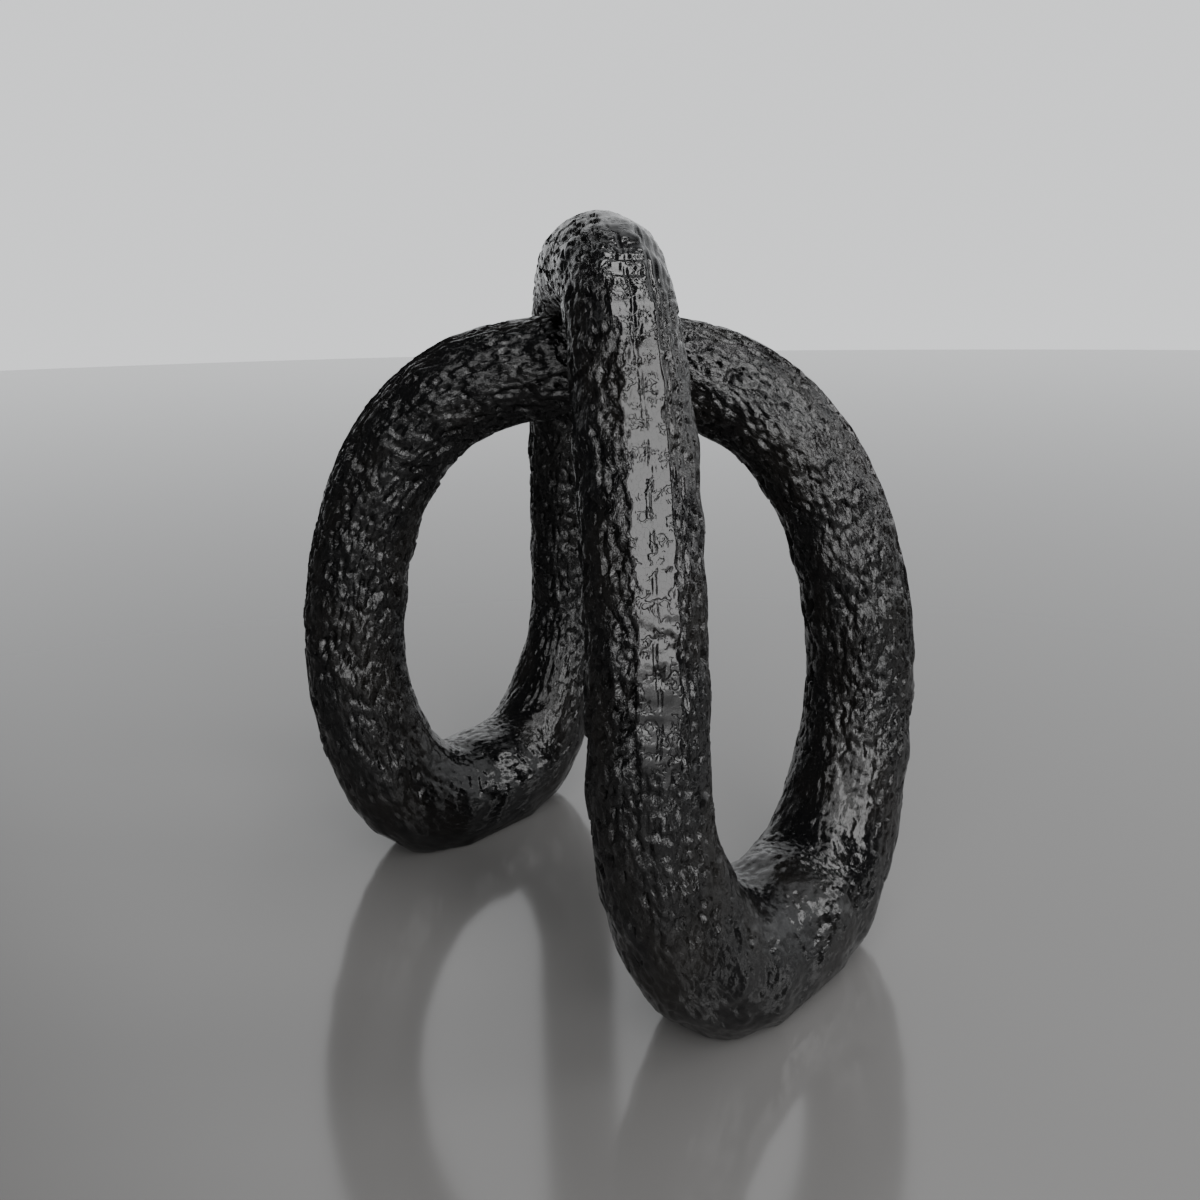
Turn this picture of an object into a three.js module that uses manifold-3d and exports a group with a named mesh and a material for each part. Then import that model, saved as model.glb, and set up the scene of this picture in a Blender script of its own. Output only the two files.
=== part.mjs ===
import * as THREE from 'three';
import { mergeVertices } from 'three/addons/utils/BufferGeometryUtils.js';
import Module from 'manifold-3d';

// Infinity sculpture: one thick round bar that follows a figure of eight bent over into two
// arches, with the tall arch seated on the low one where they cross. Millimetres, +Z up. The
// origin is on the table in the middle of the four legs. The tall arch runs from the leg at
// -X +Y to the leg at +X -Y, the low arch on the other diagonal, and the two feet along Y.
// The bar is cast in four lengths that meet in the legs, where it runs straight up.

// Route of the bar's centreline
const footReach = 95;
const legReach = 71;
const jointHeight = 106;
const lowCrownHeight = 246.8;
const footHeight = 18;

// Radius of the bar at its landmarks, which it swells and narrows between. At the tall crown the
// outer side stands out further by the rise.
const tallCrownRadius = 22.3;
const tallLegRadius = 22.3;
const lowCrownRadius = 24.4;
const lowLegRadius = 23.4;
const footRadius = 28.9;
const tallCrownRise = 1.2;

// Squareness of each bend, where 2 is an ellipse and more is boxier
const tallSideSquareness = 2.9;
const tallCrownSquareness = 2.25;
const lowSideSquareness = 3;
const lowCrownSquareness = 2.06;
const footSideSquareness = 2.9;
const footBottomSquareness = 1.45;
const crownSwell = 2;
const footSwell = 1.7;

// Unevenness of the hand-laid skin: lumps in two spacings, and the flat band that a scraper left
// along the outer side of each arch, with the skin pushed up into a shoulder on either side of it
const lumpHeight = 0.9;
const wideLumpSpacing = 33;
const closeLumpSpacing = 21;
const closeLumpShare = 0.4;
const bandShoulder = 0.8;
const bandFade = 26;
const crownClearance = 28;

// Seat of the tall arch on the low one, and the bond line in every glued joint
const seatDepth = 1;
const bondLine = 0.3;
const crossingPinRadius = 4;
const crossingPinLength = 40;

// Sole of each foot, cut flat below and trimmed along its two long edges
const soleWidth = 43;
const soleFlare = 0.75;

// Pairs of dowel pins in the legs
const legPinRadius = 3;
const legPinLength = 50;
const legPinSpacing = 20;
const pinChamfer = 0.8;
const pinEndRoom = 1;

// Felt pads let into the soles
const padRadius = 10;
const padThickness = 1.6;
const padSpacing = 44;
const padProud = 0.4;

// Fineness of the facets, and of measuring along the bar's route
const barSides = 28;
const ringSpacing = 8.5;
const pinSides = 16;
const routeSamples = 4000;
const weldDistance = 1e-4;

const tallCrownHeight = lowCrownHeight + lowCrownRadius + tallCrownRadius - seatDepth;
const seatHeight = lowCrownHeight + lowCrownRadius;
const soleHeight = padProud;
const highestLumpWave = 1.5;
const up = new THREE.Vector3(0, 0, 1);

const lacqueredCasting = new THREE.MeshStandardMaterial({ color: 0x131313, roughness: 0.28 });
const brightSteel = new THREE.MeshStandardMaterial({ color: 0xb9bcc0, roughness: 0.3, metalness: 1 });
const blackFelt = new THREE.MeshStandardMaterial({ color: 0x1c1c1c, roughness: 1 });

const manifold = await Module();
manifold.setup();

// Half of a superellipse in an upright plane. It leaves one end straight along rise, turns
// over at the crown and comes straight back at the other end.
class SquaredArc extends THREE.Curve {
  constructor(base, side, rise, sideSquareness, crownSquareness) {
    super();
    this.base = base;
    this.side = side;
    this.rise = rise;
    this.sideSquareness = sideSquareness;
    this.crownSquareness = crownSquareness;
    this.arcLengthDivisions = routeSamples;
  }

  getPoint(t, target = new THREE.Vector3()) {
    const angle = Math.PI * t;
    const reach = Math.abs(Math.cos(angle)) ** (2 / this.sideSquareness);
    const climb = Math.abs(Math.sin(angle)) ** (2 / this.crownSquareness);
    target.copy(this.base);
    target.addScaledVector(this.side, -Math.sign(Math.cos(angle)) * reach);
    return target.addScaledVector(this.rise, climb);
  }
}

// Radius along a length of bar: it runs from startRadius to endRadius and swells or narrows
// to middleRadius half way. A higher swell keeps the change near the middle.
function barRadius(share, { startRadius, middleRadius, endRadius, swell }) {
  const ends = THREE.MathUtils.lerp(startRadius, endRadius, THREE.MathUtils.smoothstep(share, 0, 1));
  return ends + (middleRadius - ends) * Math.sin(Math.PI * share) ** swell;
}

// Swell and dip at a place, between -1 and 1. Half a turn about Z leaves it the same.
function lumpWave(place, spacing) {
  const [x, y, z] = place.toArray().map((value) => (2 * Math.PI * value) / spacing);
  const wave = Math.sin(x) * Math.sin(y) + Math.cos(x) * Math.sin(z) + Math.cos(y) * Math.cos(z);
  return wave / highestLumpWave;
}

function lumpAt(place) {
  const wide = lumpWave(place, wideLumpSpacing);
  const close = lumpWave(place, closeLumpSpacing);
  return lumpHeight * (closeLumpShare * close - (1 - closeLumpShare) * wide);
}

// How much of the scraped band there is on the bar round a point of its centreline.
function bandShare(centre) {
  const climbed = THREE.MathUtils.smoothstep(centre.z, jointHeight, jointHeight + bandFade);
  const fromCrown = Math.hypot(centre.x, centre.y);
  return climbed * THREE.MathUtils.smoothstep(fromCrown, crownClearance, crownClearance + bandFade);
}

// Distance from the centreline to the skin, towards a place on the round section. Outward is the
// cosine of the angle between that direction and the bend's outer side, which stands out by rise.
function skinDistance(centre, place, radius, rise, outward) {
  const uneven = radius + lumpAt(place);
  if (outward <= 0) return uneven;
  const share = bandShare(centre);
  const bandPlane = (radius + rise + lumpHeight * (1 - share)) / outward;
  return Math.min(uneven + (rise + bandShoulder * share) * outward ** 2, bandPlane);
}

// Closed tube of nearly round sections square to a planar curve, with flat ends.
function loftBar(curve, radii, extraRadius = 0) {
  const steps = 2 * Math.round(curve.getLength() / ringSpacing / 2);
  const binormal = new THREE.Vector3().crossVectors(curve.rise, curve.side).normalize();
  const corners = [];
  const triangles = [];
  for (let step = 0; step <= steps; step += 1) {
    const share = step / steps;
    const centre = curve.getPointAt(share);
    const normal = new THREE.Vector3().crossVectors(curve.getTangentAt(share), binormal);
    const radius = barRadius(share, radii);
    const rise = radii.outerRise * Math.sin(Math.PI * share) ** radii.swell;
    for (let side = 0; side < barSides; side += 1) {
      const angle = (2 * Math.PI * side) / barSides;
      const spoke = binormal.clone().multiplyScalar(Math.cos(angle));
      spoke.addScaledVector(normal, Math.sin(angle));
      const place = centre.clone().addScaledVector(spoke, radius);
      const distance = skinDistance(centre, place, radius, rise, Math.sin(angle));
      corners.push(...centre.clone().addScaledVector(spoke, distance + extraRadius).toArray());
    }
  }
  for (let step = 0; step < steps; step += 1) {
    for (let side = 0; side < barSides; side += 1) {
      const here = step * barSides + side;
      const beside = step * barSides + ((side + 1) % barSides);
      triangles.push(here, beside, beside + barSides, here, beside + barSides, here + barSides);
    }
  }
  const lastRing = steps * barSides;
  const startCentre = lastRing + barSides;
  corners.push(...curve.getPointAt(0).toArray(), ...curve.getPointAt(1).toArray());
  for (let side = 0; side < barSides; side += 1) {
    const next = (side + 1) % barSides;
    triangles.push(startCentre, next, side);
    triangles.push(startCentre + 1, lastRing + side, lastRing + next);
  }
  const geometry = new THREE.BufferGeometry();
  geometry.setAttribute('position', new THREE.Float32BufferAttribute(corners, 3));
  geometry.setIndex(triangles);
  return geometry;
}

function solidOf(geometry) {
  const bare = geometry.clone();
  bare.deleteAttribute('normal');
  bare.deleteAttribute('uv');
  const merged = mergeVertices(bare, weldDistance);
  const vertProperties = new Float32Array(merged.attributes.position.array);
  const triVerts = new Uint32Array(merged.index.array);
  return new manifold.Manifold(new manifold.Mesh({ numProp: 3, vertProperties, triVerts }));
}

function geometryOf(solid) {
  const mesh = solid.getMesh();
  const geometry = new THREE.BufferGeometry();
  geometry.setAttribute('position', new THREE.Float32BufferAttribute(mesh.vertProperties, 3));
  geometry.setIndex(new THREE.BufferAttribute(mesh.triVerts, 1));
  geometry.computeVertexNormals();
  return geometry;
}

// Upright cylinder between two heights.
function uprightCylinder(radius, x, y, bottom, top) {
  const geometry = new THREE.CylinderGeometry(radius, radius, top - bottom, pinSides);
  geometry.rotateX(Math.PI / 2);
  return geometry.translate(x, y, (bottom + top) / 2);
}

function pinGeometry(radius, length) {
  const half = length / 2;
  const profile = [
    new THREE.Vector2(0, -half),
    new THREE.Vector2(radius - pinChamfer, -half),
    new THREE.Vector2(radius, pinChamfer - half),
    new THREE.Vector2(radius, half - pinChamfer),
    new THREE.Vector2(radius - pinChamfer, half),
    new THREE.Vector2(0, half),
  ];
  return new THREE.LatheGeometry(profile, pinSides).rotateX(Math.PI / 2);
}

// Blind hole that takes a pin standing at x, y with its middle at a height.
function pinHole(radius, length, x, y, height) {
  const reach = length / 2 + pinEndRoom;
  return solidOf(uprightCylinder(radius + bondLine, x, y, height - reach, height + reach));
}

// The two pins of a leg stand side by side along Y, on the leg's centreline.
function legPinPlaces(legX, legY) {
  return [
    { name: 'inner', x: legX, y: legY - (Math.sign(legY) * legPinSpacing) / 2 },
    { name: 'outer', x: legX, y: legY + (Math.sign(legY) * legPinSpacing) / 2 },
  ];
}

function drillLegs(solid, legs) {
  let drilled = solid;
  for (const [legX, legY] of legs) {
    for (const place of legPinPlaces(legX, legY)) {
      const hole = pinHole(legPinRadius, legPinLength, place.x, place.y, jointHeight);
      drilled = drilled.subtract(hole);
    }
  }
  return drilled;
}

function namedMesh(name, geometry, material) {
  const mesh = new THREE.Mesh(geometry, material);
  mesh.name = name;
  return mesh;
}

const tallRadii = {
  startRadius: tallLegRadius,
  middleRadius: tallCrownRadius,
  endRadius: tallLegRadius,
  swell: crownSwell,
  outerRise: tallCrownRise,
};
const lowRadii = {
  startRadius: lowLegRadius,
  middleRadius: lowCrownRadius,
  endRadius: lowLegRadius,
  swell: crownSwell,
  outerRise: 0,
};
const footRadii = {
  startRadius: tallLegRadius,
  middleRadius: footRadius,
  endRadius: lowLegRadius,
  swell: footSwell,
  outerRise: 0,
};

// An arch starts half a bond line above the joint and spans the legs on one diagonal.
function archCurve(side, crownHeight, sideSquareness, crownSquareness) {
  const base = new THREE.Vector3(0, 0, jointHeight + bondLine / 2);
  const rise = up.clone().multiplyScalar(crownHeight - base.z);
  return new SquaredArc(base, side, rise, sideSquareness, crownSquareness);
}

const lowCurve = archCurve(
  new THREE.Vector3(footReach, legReach, 0),
  lowCrownHeight,
  lowSideSquareness,
  lowCrownSquareness,
);

const tallCurve = archCurve(
  new THREE.Vector3(footReach, -legReach, 0),
  tallCrownHeight,
  tallSideSquareness,
  tallCrownSquareness,
);

const crossingHole = pinHole(crossingPinRadius, crossingPinLength, 0, 0, seatHeight);

function lowArch() {
  const bar = solidOf(loftBar(lowCurve, lowRadii)).subtract(crossingHole);
  return drillLegs(bar, [[footReach, legReach], [-footReach, -legReach]]);
}

// The saddle under the crown is the low arch's own shape, one bond line larger.
function tallArch() {
  const saddle = solidOf(loftBar(lowCurve, lowRadii, bondLine));
  const bar = solidOf(loftBar(tallCurve, tallRadii)).subtract(saddle).subtract(crossingHole);
  return drillLegs(bar, [[footReach, -legReach], [-footReach, legReach]]);
}

const padPlaces = [-padSpacing / 2, padSpacing / 2];

// Room that the trimmed foot may fill: above its sole, between planes that lean outwards.
function soleRoom() {
  const top = 2 * jointHeight;
  const soleHalf = soleWidth / 2;
  const topHalf = soleHalf + soleFlare * (top - soleHeight);
  const outline = new THREE.Shape([
    new THREE.Vector2(-soleHalf, soleHeight),
    new THREE.Vector2(soleHalf, soleHeight),
    new THREE.Vector2(topHalf, top),
    new THREE.Vector2(-topHalf, top),
  ]);
  const geometry = new THREE.ExtrudeGeometry(outline, { depth: 4 * legReach, bevelEnabled: false });
  return geometry.rotateX(Math.PI / 2).translate(footReach, 2 * legReach, 0);
}

// One foot at +X: a U bend hung from the two leg joints, with its sole cut and trimmed.
function foot() {
  const base = new THREE.Vector3(footReach, 0, jointHeight - bondLine / 2);
  const side = new THREE.Vector3(0, legReach, 0);
  const drop = up.clone().multiplyScalar(footHeight - base.z);
  const curve = new SquaredArc(base, side, drop, footSideSquareness, footBottomSquareness);
  let flat = solidOf(loftBar(curve, footRadii)).intersect(solidOf(soleRoom()));
  for (const y of padPlaces) {
    const pocketTop = padThickness + bondLine;
    flat = flat.subtract(solidOf(uprightCylinder(padRadius + bondLine, footReach, y, 0, pocketTop)));
  }
  return drillLegs(flat, [[footReach, -legReach], [footReach, legReach]]);
}

// Everything at one end of the sculpture, built at +X and turned about Z for the other end.
function footEnd(end, turn) {
  const assembly = new THREE.Group();
  assembly.add(namedMesh(`${end}_foot`, geometryOf(foot()), lacqueredCasting));
  for (const [arch, legY] of [['tall', -legReach], ['low', legReach]]) {
    for (const place of legPinPlaces(footReach, legY)) {
      const name = `${end}_${arch}_leg_${place.name}_pin`;
      const pin = namedMesh(name, pinGeometry(legPinRadius, legPinLength), brightSteel);
      pin.position.set(place.x, place.y, jointHeight);
      assembly.add(pin);
    }
  }
  padPlaces.forEach((y, index) => {
    const pad = uprightCylinder(padRadius, 0, 0, 0, padThickness);
    const mesh = namedMesh(`${end}_foot_pad_${index + 1}`, pad, blackFelt);
    mesh.position.set(footReach, y, 0);
    assembly.add(mesh);
  });
  assembly.rotation.z = turn;
  return assembly;
}

const crossingPin = namedMesh(
  'crossing_pin',
  pinGeometry(crossingPinRadius, crossingPinLength),
  brightSteel,
);
crossingPin.position.set(0, 0, seatHeight);

const sculpture = new THREE.Group();
sculpture.add(namedMesh('tall_arch', geometryOf(tallArch()), lacqueredCasting));
sculpture.add(namedMesh('low_arch', geometryOf(lowArch()), lacqueredCasting));
sculpture.add(crossingPin);
sculpture.add(footEnd('front', 0));
sculpture.add(footEnd('rear', Math.PI));

export default sculpture;
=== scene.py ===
import math
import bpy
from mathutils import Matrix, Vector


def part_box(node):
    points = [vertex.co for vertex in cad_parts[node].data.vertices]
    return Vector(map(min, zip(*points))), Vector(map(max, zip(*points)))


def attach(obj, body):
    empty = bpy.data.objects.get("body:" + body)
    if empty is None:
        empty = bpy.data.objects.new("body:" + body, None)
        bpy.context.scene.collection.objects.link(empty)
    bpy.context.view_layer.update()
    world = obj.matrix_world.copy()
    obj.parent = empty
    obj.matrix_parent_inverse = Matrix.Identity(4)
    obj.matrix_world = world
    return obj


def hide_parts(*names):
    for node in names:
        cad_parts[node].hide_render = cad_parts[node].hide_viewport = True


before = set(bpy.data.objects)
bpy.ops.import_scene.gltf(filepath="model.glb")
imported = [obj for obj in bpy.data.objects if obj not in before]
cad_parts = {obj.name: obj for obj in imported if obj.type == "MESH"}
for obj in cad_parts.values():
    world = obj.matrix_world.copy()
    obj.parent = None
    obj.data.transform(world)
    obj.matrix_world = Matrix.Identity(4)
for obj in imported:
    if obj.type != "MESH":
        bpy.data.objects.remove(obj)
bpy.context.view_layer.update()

from types import SimpleNamespace

import bmesh
import bpy
import numpy as np
from mathutils import Matrix, Vector

# The four castings are made again here as one lacquered bar with its stipple. Lumps and scraped band
# follow the castings' own rules, and the grains of the stipple reach up to the castings' skin.
mm = 0.001


# Node helpers, for geometry and shader trees alike

def feed(tree, socket, value):
    if isinstance(value, bpy.types.NodeSocket):
        tree.links.new(value, socket)
    else:
        socket.default_value = value


def addNode(tree, kind, sockets=None, **settings):
    node = tree.nodes.new(kind)
    for name, value in settings.items():
        setattr(node, name, value)
    for name, value in (sockets or {}).items():
        feed(tree, node.inputs[name], value)
    return node


def calc(tree, operation, *values):
    node = addNode(tree, "ShaderNodeMath", operation=operation)
    for socket, value in zip(node.inputs, values):
        feed(tree, socket, value)
    return node.outputs[0]


def product(tree, *values):
    total = values[0]
    for value in values[1:]:
        total = calc(tree, "MULTIPLY", total, value)
    return total


def vectorCalc(tree, operation, *values):
    node = addNode(tree, "ShaderNodeVectorMath", operation=operation)
    for socket, value in zip(node.inputs, values):
        feed(tree, socket, value)
    return node.outputs["Value" if operation in ("DOT_PRODUCT", "LENGTH") else "Vector"]


def scaled(tree, vector, factor):
    node = addNode(tree, "ShaderNodeVectorMath", {"Vector": vector}, operation="SCALE")
    feed(tree, node.inputs["Scale"], factor)
    return node.outputs[0]


def vectorOf(tree, **axes):
    return addNode(tree, "ShaderNodeCombineXYZ", axes).outputs[0]


def axesOf(tree, vector):
    return addNode(tree, "ShaderNodeSeparateXYZ", {"Vector": vector}).outputs


def ease(tree, value, low, high, start=0.0, end=1.0):
    limits = {"Value": value, "From Min": low, "From Max": high, "To Min": start, "To Max": end}
    return addNode(tree, "ShaderNodeMapRange", limits, interpolation_type="SMOOTHSTEP").outputs[0]


def between(tree, value, zone):
    rising, full, fading, gone = zone
    return product(tree, ease(tree, value, rising, full), ease(tree, value, gone, fading))


def blendOf(tree, share, first, second):
    return calc(tree, "MULTIPLY_ADD", share, calc(tree, "SUBTRACT", second, first), first)


def noiseAt(tree, place, scale, seed, detail, roughness=0.5, distortion=0.0):
    sockets = {"Vector": place, "W": seed, "Scale": scale, "Detail": detail}
    sockets.update({"Roughness": roughness, "Distortion": distortion})
    return addNode(tree, "ShaderNodeTexNoise", sockets, noise_dimensions="4D").outputs[0]


# The bar's route, read from the frame where the frame shows it

def middleOf(node):
    low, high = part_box(node)
    return (low + high) / 2


legMiddle = (middleOf("front_low_leg_inner_pin") + middleOf("front_low_leg_outer_pin")) / 2
footReach, legReach, jointHeight = legMiddle
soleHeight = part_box("front_foot")[0].z
seatHeight = middleOf("crossing_pin").z

bar = {
    "tallCrownRadius": 22.3 * mm,
    "tallLegRadius": 22.3 * mm,
    "lowCrownRadius": 24.4 * mm,
    "lowLegRadius": 23.4 * mm,
    "footRadius": 28.9 * mm,
    "footHeight": 18 * mm,
    "tallSquareness": (2.9, 2.25),
    "lowSquareness": (3.0, 2.06),
    "footSquareness": (2.9, 1.45),
    "crownSwell": 2.0,
    "footSwell": 1.7,
    "tallCrownRise": 1.2 * mm,
    "seatDepth": 1.0 * mm,
    "ringSpacing": 1.08 * mm,
    "sides": 206,
    "routeSamples": 4001,
}


def routeOf(centre, side, rise, squareness):
    turn = np.linspace(0, math.pi, bar["routeSamples"])
    reach = np.sign(np.cos(turn)) * np.abs(np.cos(turn)) ** (2 / squareness[0])
    climb = np.abs(np.sin(turn)) ** (2 / squareness[1])
    points = np.array(centre) - np.outer(reach, side) + np.outer(climb, rise)
    steps = np.linalg.norm(np.diff(points, axis=0), axis=1)
    along = np.concatenate([[0], np.cumsum(steps)])
    rings = 2 * round(along[-1] / bar["ringSpacing"] / 2) + 1
    even = np.linspace(0, along[-1], rings)
    centres = np.stack([np.interp(even, along, points[:, axis]) for axis in range(3)], axis=1)
    centres[1, :2], centres[-2, :2] = centres[0, :2], centres[-1, :2]  # both ends leave straight up
    return centres, along[-1]


def radiiOf(count, startRadius, middleRadius, endRadius, swell):
    share = np.linspace(0, 1, count)
    ends = startRadius + (endRadius - startRadius) * share ** 2 * (3 - 2 * share)
    return ends + (middleRadius - ends) * np.sin(math.pi * share) ** swell


def pathObject(name, points, radii):
    curve = bpy.data.curves.new(name, "CURVE")
    curve.dimensions = "3D"
    spline = curve.splines.new("POLY")
    spline.points.add(len(points) - 1)
    spline.points.foreach_set("co", np.column_stack([points, np.ones(len(points))]).ravel())
    spline.points.foreach_set("radius", radii)
    path = bpy.data.objects.new(name, curve)
    bpy.context.scene.collection.objects.link(path)
    return path


# The castings in the order in which the closed bar runs through them, starting at the rear leg of
# the tall arch. Across is the level direction square to each casting's own upright plane. Turn is
# how far the section's frame turns between a foot and its arches, so that one skin fits them all.
legTurn = math.atan2(footReach, legReach)
joint = Vector((0, 0, jointHeight))
tallCrown = seatHeight + bar["tallCrownRadius"] - bar["seatDepth"]
lowCrown = seatHeight - bar["lowCrownRadius"]
tallLeg, lowLeg, footBend = bar["tallLegRadius"], bar["lowLegRadius"], bar["footRadius"]


def archOf(name, side, crown, legRadius, crownRise):
    kind = name.split("_")[0]
    return {
        "name": name,
        "centre": joint,
        "side": side,
        "rise": Vector((0, 0, crown - jointHeight)),
        "squareness": bar[kind + "Squareness"],
        "radii": (legRadius, bar[kind + "CrownRadius"], legRadius, bar["crownSwell"]),
        "crownRise": crownRise,
        "turn": 0.0,
    }


def footOf(name, centre, firstLeg, secondLeg, turn):
    return {
        "name": name,
        "centre": centre,
        "side": Vector((0, legReach, 0)),
        "rise": Vector((0, 0, bar["footHeight"] - jointHeight)),
        "squareness": bar["footSquareness"],
        "radii": (firstLeg, footBend, secondLeg, bar["footSwell"]),
        "crownRise": 0.0,
        "turn": turn,
    }


footAway = Vector((footReach, 0, 0))
castings = [
    archOf("tall_arch", Vector((footReach, -legReach, 0)), tallCrown, tallLeg, bar["tallCrownRise"]),
    footOf("front_foot", joint + footAway, tallLeg, lowLeg, legTurn),
    archOf("low_arch", Vector((-footReach, -legReach, 0)), lowCrown, lowLeg, 0.0),
    footOf("rear_foot", joint - footAway, lowLeg, tallLeg, -legTurn),
]

loopLength = 0.0
for casting in castings:
    points, length = routeOf(casting["centre"], casting["side"], casting["rise"], casting["squareness"])
    radii = radiiOf(len(points), *casting["radii"])
    casting["path"] = pathObject(casting["name"] + "_path", points, radii)
    casting["across"] = -casting["side"].cross(casting["rise"]).normalized()
    casting["loopStart"] = loopLength
    loopLength += length
print("routes ready, the bar is", round(loopLength / mm), "mm long")


# Black lacquer over the stipple. Chips and wrinkles break up the grains, curls and waves mark the
# band, and limits are the two values between which a mark or a patch grows from nothing to full.

lacquer = {
    "colour": (0.0014, 0.0014, 0.0016, 1),
    "warmColour": (0.0034, 0.0029, 0.0025, 1),
    "gloss": (0.11, 0.20),
    "refraction": 1.44,
    "bandRoughness": 0.12,
    "chipGrain": 1.7 * mm,
    "chipHeight": 0.75 * mm,
    "wrinkleGrain": 1.3 * mm,
    "wrinkleHeight": 0.55 * mm,
    "curlGrain": 2.6 * mm,
    "curlDepth": 0.22 * mm,
    "curlLimits": (0.10, 0.02),
    "clusterGrain": 6 * mm,
    "clusterLimits": (0.46, 0.6),
    "waveGrain": 7 * mm,
    "waveHeight": 0.4 * mm,
    "hazeGrain": 0.5 * mm,
    "hazeHeight": 0.015 * mm,
    "patchGrain": 26 * mm,
    "patchLimits": (0.42, 0.68),
}


def newMaterial(name):
    material = bpy.data.materials.new(name)
    material.use_nodes = True
    material.node_tree.nodes.clear()
    return material, material.node_tree


def finishMaterial(tree, sockets):
    shader = addNode(tree, "ShaderNodeBsdfPrincipled", sockets)
    addNode(tree, "ShaderNodeOutputMaterial", {"Surface": shader.outputs[0]})


def storedOnSkin(tree, name, output="Fac"):
    return addNode(tree, "ShaderNodeAttribute", attribute_name=name).outputs[output]


def bumpOn(tree, height, distance, below=None):
    sockets = {"Height": height, "Distance": distance, "Strength": 1.0}
    if below is not None:
        sockets["Normal"] = below
    return addNode(tree, "ShaderNodeBump", sockets).outputs[0]


def colourBlend(tree, share, first, second):
    node = addNode(tree, "ShaderNodeMix", data_type="RGBA")
    sockets = (0, 6, 7)  # the factor and the two colours, whose names other sockets also have
    for socket, value in zip(sockets, (share, first, second)):
        feed(tree, node.inputs[socket], value)
    return node.outputs[2]


def chipLevelAt(tree, place):
    chips = addNode(tree, "ShaderNodeTexVoronoi", {"Vector": place, "Scale": 1 / lacquer["chipGrain"]})
    fromChip = vectorCalc(tree, "SUBTRACT", place, chips.outputs["Position"])
    lean = vectorCalc(tree, "SUBTRACT", chips.outputs["Color"], (0.5, 0.5, 0.5))
    return calc(tree, "DIVIDE", vectorCalc(tree, "DOT_PRODUCT", fromChip, lean), lacquer["chipGrain"])


def curlsAt(tree, bare, band):
    noise = noiseAt(tree, bare, 1 / lacquer["curlGrain"], seed=15.0, detail=1.0)
    line = calc(tree, "ABSOLUTE", calc(tree, "SUBTRACT", noise, 0.5))
    clusters = noiseAt(tree, bare, 1 / lacquer["clusterGrain"], seed=12.0, detail=1.0)
    clusters = ease(tree, clusters, *lacquer["clusterLimits"])
    return product(tree, clusters, band, ease(tree, line, *lacquer["curlLimits"]))


def lacquerMaterial():
    material, tree = newMaterial("blackLacquer")
    place = storedOnSkin(tree, "ringPlace", "Vector")
    band = storedOnSkin(tree, "bandShare")
    grain = storedOnSkin(tree, "grainShare")
    bare = addNode(tree, "ShaderNodeTexCoord").outputs["Object"]
    rough = product(tree, blendOf(tree, band, 1.0, lacquer["bandRoughness"]), grain)
    skin = bumpOn(tree, product(tree, chipLevelAt(tree, place), rough), lacquer["chipHeight"])
    scale = 1 / lacquer["wrinkleGrain"]
    wrinkles = noiseAt(tree, place, scale, seed=11.0, detail=3.0, roughness=0.55, distortion=0.6)
    skin = bumpOn(tree, product(tree, wrinkles, rough), lacquer["wrinkleHeight"], skin)
    curls = curlsAt(tree, bare, band)
    skin = bumpOn(tree, product(tree, curls, -1.0), lacquer["curlDepth"], skin)
    waves = product(tree, noiseAt(tree, bare, 1 / lacquer["waveGrain"], seed=16.0, detail=1.0), band)
    skin = bumpOn(tree, waves, lacquer["waveHeight"], skin)
    haze = noiseAt(tree, place, 1 / lacquer["hazeGrain"], seed=13.0, detail=2.0)
    skin = bumpOn(tree, haze, lacquer["hazeHeight"], skin)
    patches = noiseAt(tree, place, 1 / lacquer["patchGrain"], seed=14.0, detail=2.0)
    patches = ease(tree, patches, *lacquer["patchLimits"])
    finishMaterial(tree, {
        "Base Color": colourBlend(tree, patches, lacquer["colour"], lacquer["warmColour"]),
        "Roughness": blendOf(tree, patches, *lacquer["gloss"]),
        "IOR": lacquer["refraction"],
        "Specular IOR Level": 0.5,
        "Normal": skin,
    })
    return material


# Relief of the skin: lumps, angular grains, and the scraped band along the outer side of the arches
# with its steps, creases, pits and lengthwise grooves. It is calmer beside the band and towards the
# soles. These are the inputs of the bar's tree.

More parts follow.
